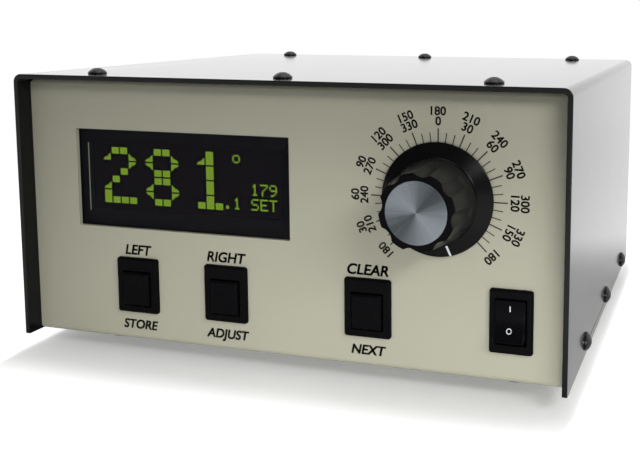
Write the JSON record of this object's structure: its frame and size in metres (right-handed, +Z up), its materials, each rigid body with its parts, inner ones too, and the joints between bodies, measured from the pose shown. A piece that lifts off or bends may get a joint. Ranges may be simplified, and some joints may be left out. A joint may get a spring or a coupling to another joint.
{
  "type": "antenna rotator controller",
  "caption": "Desk controller for an antenna rotator: folded metal case with a lit display, push buttons, a rocker switch and a bearing dial.",
  "frame": {"origin": "under the middle of the whole controller, on the surface that its feet stand on", "axes": "+X to the right as seen from the front, +Y from the front panel to the rear panel, +Z up"},
  "size_m": [0.2092, 0.2108, 0.1071],
  "materials": {
    "backlight": "diffuser of the backlight",
    "black_metal": "black coated sheet metal",
    "black_plastic": "black moulded nylon",
    "black_steel": "black oxide steel button heads",
    "brass": "brass",
    "button_plastic": "satin black moulded plastic",
    "circuit_board": "green glass-fibre board",
    "copper": "enamelled copper winding, under tape",
    "cover_paint": "satin black powder coat with a fine texture",
    "display_glass": "display glass with yellow-green lit cells",
    "fuse_glass": "glass cartridge fuse",
    "knob_plastic": "black phenolic moulding",
    "laminations": "varnished iron laminations",
    "panel_paint": "warm grey beige satin paint",
    "pot_metal": "pressed steel can and bush",
    "rubber": "moulded black rubber",
    "turned_aluminium": "spun aluminium with concentric lathe lines",
    "window_tint": "dark tinted acrylic",
    "zinc_steel": "zinc plated steel"
  },
  "bodies": {
    "root": {"board_screws": "zinc_steel", "board_standoffs": "zinc_steel", "chassis": "panel_paint", "clear_button_housing": "black_plastic", "clear_button_spring": "zinc_steel", "control_chip": "black_plastic", "cover": "cover_paint", "dial_nut": "zinc_steel", "dial_potentiometer": "pot_metal", "dial_washer": "zinc_steel", "display_backlight": "backlight", "display_board": "circuit_board", "display_frame": "black_metal", "display_glass": "display_glass", "display_nuts": "zinc_steel", "display_studs": "zinc_steel", "display_window": "window_tint", "feet": "rubber", "filter_capacitors": "black_plastic", "foot_nuts": "zinc_steel", "foot_screws": "zinc_steel", "ground_nut": "zinc_steel", "ground_stud": "brass", "inlet_blades": "brass", "inlet_screws": "zinc_steel", "left_button_housing": "black_plastic", "left_button_spring": "zinc_steel", "main_board": "circuit_board", "mains_inlet": "black_plastic", "relays": "black_plastic", "right_button_housing": "black_plastic", "right_button_spring": "zinc_steel", "serial_jackscrews": "zinc_steel", "serial_port_inserts": "black_plastic", "serial_ports": "zinc_steel", "side_screws": "black_steel", "strip_screws": "zinc_steel", "switch_housing": "black_plastic", "switch_terminals": "brass", "terminal_plates": "brass", "terminal_screws": "zinc_steel", "terminal_strip": "black_plastic", "top_screws": "black_steel", "transformer_core": "laminations", "transformer_screws": "zinc_steel", "transformer_strap": "zinc_steel", "transformer_winding": "copper", "voltage_regulator": "black_plastic"},
    "dial": {"dial_shaft": "brass", "dial_knob": "knob_plastic", "knob_insert": "brass", "knob_inlay": "turned_aluminium", "knob_set_screw": "black_metal"},
    "left_key": {"left_button": "button_plastic"},
    "right_key": {"right_button": "button_plastic"},
    "clear_key": {"clear_button": "button_plastic"},
    "rocker": {"power_rocker": "button_plastic"},
    "fuse_tray": {"fuse_drawer": "black_plastic", "fuse": "fuse_glass"}
  },
  "joints": [
    {"name": "dial_turn", "type": "hinge", "parent": "root", "child": "dial", "pos_m": [0.0577, -0.08165, 0.0669], "axis": [0, -1, 0], "range_deg": [0, 300]},
    {"name": "left_button_press", "type": "slide", "parent": "root", "child": "left_key", "axis": [0, 1, 0], "range_m": [0, 0.0025], "stiffness_N_per_m": 300, "springref_m": -0.002, "deforming": ["left_button_spring"]},
    {"name": "right_button_press", "type": "slide", "parent": "root", "child": "right_key", "axis": [0, 1, 0], "range_m": [0, 0.0025], "stiffness_N_per_m": 300, "springref_m": -0.002, "deforming": ["right_button_spring"]},
    {"name": "clear_button_press", "type": "slide", "parent": "root", "child": "clear_key", "axis": [0, 1, 0], "range_m": [0, 0.0025], "stiffness_N_per_m": 300, "springref_m": -0.002, "deforming": ["clear_button_spring"]},
    {"name": "rocker_tip", "type": "hinge", "parent": "root", "child": "rocker", "pos_m": [0.0829, -0.08165, 0.028], "axis": [1, 0, 0], "range_deg": [0, 26]},
    {"name": "fuse_drawer_slide", "type": "slide", "parent": "root", "child": "fuse_tray", "axis": [0, 1, 0], "range_m": [0, 0.016]}
  ]
}
